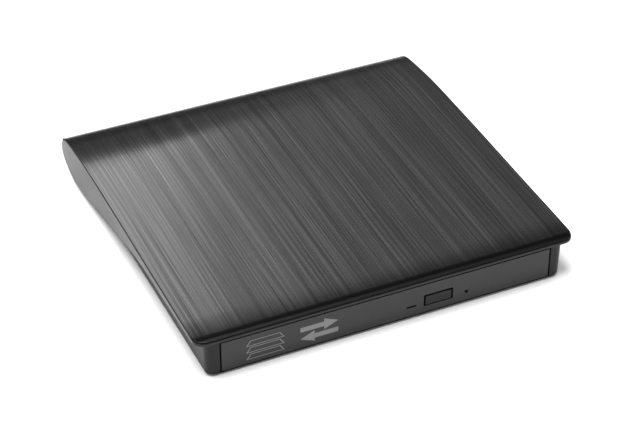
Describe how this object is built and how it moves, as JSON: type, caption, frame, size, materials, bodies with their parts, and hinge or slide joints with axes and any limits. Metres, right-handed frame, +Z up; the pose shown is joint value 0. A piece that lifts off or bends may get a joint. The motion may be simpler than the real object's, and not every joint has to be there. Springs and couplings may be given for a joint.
{
  "type": "external optical drive",
  "caption": "Slim portable optical disc drive: brushed wedge-shaped cover with teardrop cheeks over a flat base, with a sliding disc tray behind a plain front bezel.",
  "frame": {"origin": "middle of the underside, on the plane that the rubber feet stand on", "axes": "+X to the right seen from the front, -Y out of the front bezel, +Z up"},
  "size_m": [0.1474, 0.1426, 0.019],
  "materials": {
    "brushed_skin": "brushed front to back, dark anodised",
    "shell_plastic": "fine satin",
    "base_plastic": "fine spark-eroded grain",
    "foot_rubber": "matt",
    "screw_steel": "nickel plated",
    "circuit_board": "green solder mask",
    "tin_plate": "tin plated",
    "connector_plastic": "glass filled",
    "chip_resin": "moulded",
    "capacitor_ceramic": "fired",
    "zinc_steel": "zinc plated",
    "guide_plastic": "natural acetal",
    "ribbon_film": "laminated film",
    "rail_steel": "rolled",
    "tray_plastic": "fine grain",
    "bezel_plastic": "fine grain",
    "button_plastic": "fine grain",
    "clear_plastic": "smoked acrylic",
    "led_resin": "tinted epoxy",
    "spring_steel": "drawn wire",
    "frame_metal": "die cast",
    "cover_paint": "black paint",
    "polished_steel": "ground",
    "turntable_plastic": "moulded",
    "lens_glass": "coated"
  },
  "bodies": {
    "housing": {"top_skin": "brushed_skin", "upper_shell": "shell_plastic", "base_shell": "base_plastic", "rubber_feet": "foot_rubber", "housing_screws": "screw_steel", "drive_screws": "screw_steel", "bridge_board": "circuit_board", "usb_socket": "tin_plate", "usb_tongue": "connector_plastic", "bridge_chip": "chip_resin", "clock_crystal": "tin_plate", "board_capacitors": "capacitor_ceramic", "sata_plug": "connector_plastic", "drive_pan": "zinc_steel", "drive_lid": "zinc_steel", "lid_screws": "screw_steel", "guide_left": "guide_plastic", "guide_right": "guide_plastic", "drive_board": "circuit_board", "sata_socket": "connector_plastic", "latch_post": "screw_steel", "ribbon_lower": "ribbon_film"},
    "rails": {"rail_left": "rail_steel", "rail_right": "rail_steel"},
    "tray": {"disc_tray": "tray_plastic", "front_bezel": "bezel_plastic", "light_guide": "clear_plastic", "button_board": "circuit_board", "indicator_led": "led_resin", "eject_switch": "connector_plastic", "tray_board": "circuit_board", "ribbon_socket": "connector_plastic", "tray_board_chips": "chip_resin", "tray_shield": "zinc_steel", "latch_solenoid": "tin_plate", "ejector_pusher": "guide_plastic", "ejector_spring": "spring_steel", "mechanism_frame": "frame_metal", "mechanism_cover": "cover_paint", "guide_rods": "polished_steel", "rubber_dampers": "foot_rubber", "motor_stator": "frame_metal", "sled_motor": "tin_plate", "ribbon_upper": "ribbon_film"},
    "button": {"eject_button": "button_plastic"},
    "spindle": {"motor_rotor": "polished_steel", "turntable": "turntable_plastic", "turntable_ring": "foot_rubber", "disc_clamps": "guide_plastic"},
    "screw": {"lead_screw": "polished_steel"},
    "sled": {"pickup_base": "frame_metal", "pickup_cover": "cover_paint", "pickup_rack": "guide_plastic"},
    "lens": {"lens_holder": "connector_plastic", "objective_lens": "lens_glass"},
    "latch": {"latch_lever": "guide_plastic"}
  },
  "joints": [
    {"name": "rails_slide", "type": "slide", "parent": "housing", "child": "rails", "axis": [0, -1, 0], "range_m": [0, 0.06], "deforming": ["ribbon_lower"]},
    {"name": "tray_slide", "type": "slide", "parent": "rails", "child": "tray", "axis": [0, -1, 0], "range_m": [0, 0.06], "deforming": ["ribbon_upper"]},
    {"name": "eject_press", "type": "slide", "parent": "tray", "child": "button", "axis": [0, 1, 0], "range_m": [0, 0.0006], "stiffness_N_per_m": 800},
    {"name": "spindle_turn", "type": "hinge", "parent": "tray", "child": "spindle", "pos_m": [0, -0.00352, 0.008], "axis": [0, 0, 1], "continuous": true},
    {"name": "sled_slide", "type": "slide", "parent": "tray", "child": "sled", "axis": [-0.7071, -0.7071, 0], "range_m": [0, 0.0355]},
    {"name": "screw_turn", "type": "hinge", "parent": "tray", "child": "screw", "pos_m": [-0.03465, -0.0113, 0.00675], "axis": [-0.7071, -0.7071, 0], "range_deg": [0, 4261]},
    {"name": "focus_slide", "type": "slide", "parent": "sled", "child": "lens", "axis": [0, 0, 1], "range_m": [-0.00015, 0.0004], "stiffness_N_per_m": 20},
    {"name": "latch_swing", "type": "hinge", "parent": "tray", "child": "latch", "pos_m": [0.0549, -0.05922, 0.0046], "axis": [0, 0, 1], "range_deg": [0, 12]}
  ],
  "couplings": [
    {"joint": "rails_slide", "follows": "tray_slide", "ratio": 1},
    {"joint": "screw_turn", "follows": "sled_slide", "rad_per_m": 2094.4}
  ]
}
